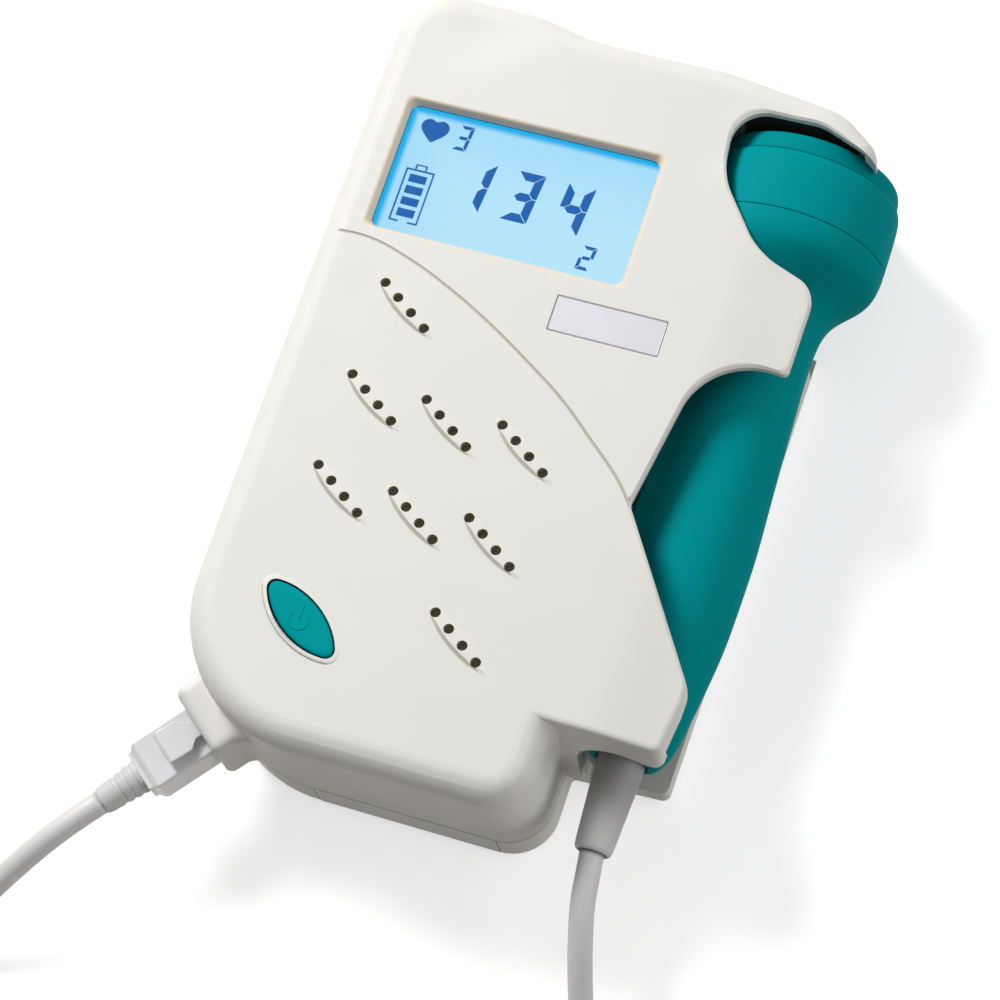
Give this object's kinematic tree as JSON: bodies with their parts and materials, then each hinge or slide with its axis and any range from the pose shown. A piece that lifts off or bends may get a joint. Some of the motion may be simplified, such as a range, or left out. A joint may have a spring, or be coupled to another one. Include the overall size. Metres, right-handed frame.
{
  "type": "vascular doppler",
  "caption": "Pocket ultrasound doppler with a backlit display and loudspeaker, and a flat-head probe docked along its side on a coiled lead.",
  "frame": {"origin": "middle of the case on its back face", "axes": "+Z out of the front face, +Y towards the display end, +X towards the docked probe"},
  "size_m": [0.1289, 0.2407, 0.0354],
  "materials": {
    "case_front": "fine spark-eroded texture, warm white",
    "case_back": "fine spark-eroded texture, warm grey white",
    "window": "clear hard-coated acrylic",
    "display": "backlit liquid crystal panel, light cyan",
    "foam": "soft dark foam",
    "inner_plastic": "plain moulded, pale grey",
    "board": "green solder mask",
    "speaker_black": "pressed basket and paper cone",
    "switch_black": "moulded, plain",
    "button_teal": "satin moulded, teal",
    "plate": "satin silver lilac, bare",
    "socket_black": "moulded insert, dark grey",
    "contact_gold": "thin gold plating",
    "wheel_grey": "ribbed thumb wheel",
    "zinc": "zinc-plated steel",
    "cell_wrap": "shrink-wrapped cell, plain",
    "probe_teal": "satin moulded, teal",
    "probe_cap_teal": "soft satin cap, teal",
    "ceramic_disc": "silvered ceramic",
    "boot_grey": "soft moulded, mid grey",
    "plug_clear": "milky clear moulded",
    "cord_grey": "matt extruded jacket, light grey"
  },
  "bodies": {
    "root": {"front_cover": "case_front", "back_cover": "case_back", "display_window": "window", "display_module": "display", "display_gasket": "foam", "display_holder": "inner_plastic", "main_board": "board", "speaker": "speaker_black", "speaker_gasket": "foam", "tact_switch": "switch_black", "name_plate": "plate", "lead_socket": "socket_black", "socket_contacts": "contact_gold", "volume_pot": "switch_black", "earphone_jack": "switch_black", "case_screws": "zinc", "battery_box": "inner_plastic", "battery_cells": "cell_wrap", "battery_contacts": "zinc", "plug_body": "plug_clear", "plug_hood": "plug_clear", "lead_coil": "cord_grey", "lead_plug_side": "cord_grey"},
    "door": {"battery_door": "case_back"},
    "wheel": {"volume_wheel": "wheel_grey"},
    "button": {"button_cap": "button_teal"},
    "latch": {"plug_latch": "plug_clear"},
    "probe": {"probe_handle": "probe_teal", "probe_head": "probe_teal", "probe_cap": "probe_cap_teal", "probe_board": "board", "probe_discs": "ceramic_disc", "probe_boot": "boot_grey", "lead_probe_side": "cord_grey"}
  },
  "joints": [
    {"name": "probe_undock", "type": "slide", "parent": "root", "child": "probe", "axis": [0.9272, -0.3746, 0], "range_m": [0, 0.043]},
    {"name": "button_press", "type": "slide", "parent": "root", "child": "button", "axis": [0, 0, -1], "range_m": [0, 0.0008], "stiffness_N_per_m": 900, "springref_m": -0.0004},
    {"name": "battery_door_slide", "type": "slide", "parent": "root", "child": "door", "axis": [0, -1, 0], "range_m": [0, 0.01]},
    {"name": "volume_turn", "type": "hinge", "parent": "root", "child": "wheel", "pos_m": [-0.027, 0.063, 0.0154], "axis": [0, 0, 1], "range_deg": [-140, 140]},
    {"name": "latch_press", "type": "hinge", "parent": "root", "child": "latch", "pos_m": [-0.03497, -0.06113, 0.02105], "axis": [0.7771, -0.6293, 0], "range_deg": [0, 4], "stiffness_Nm_per_rad": 0.4, "springref_deg": -1.15}
  ]
}
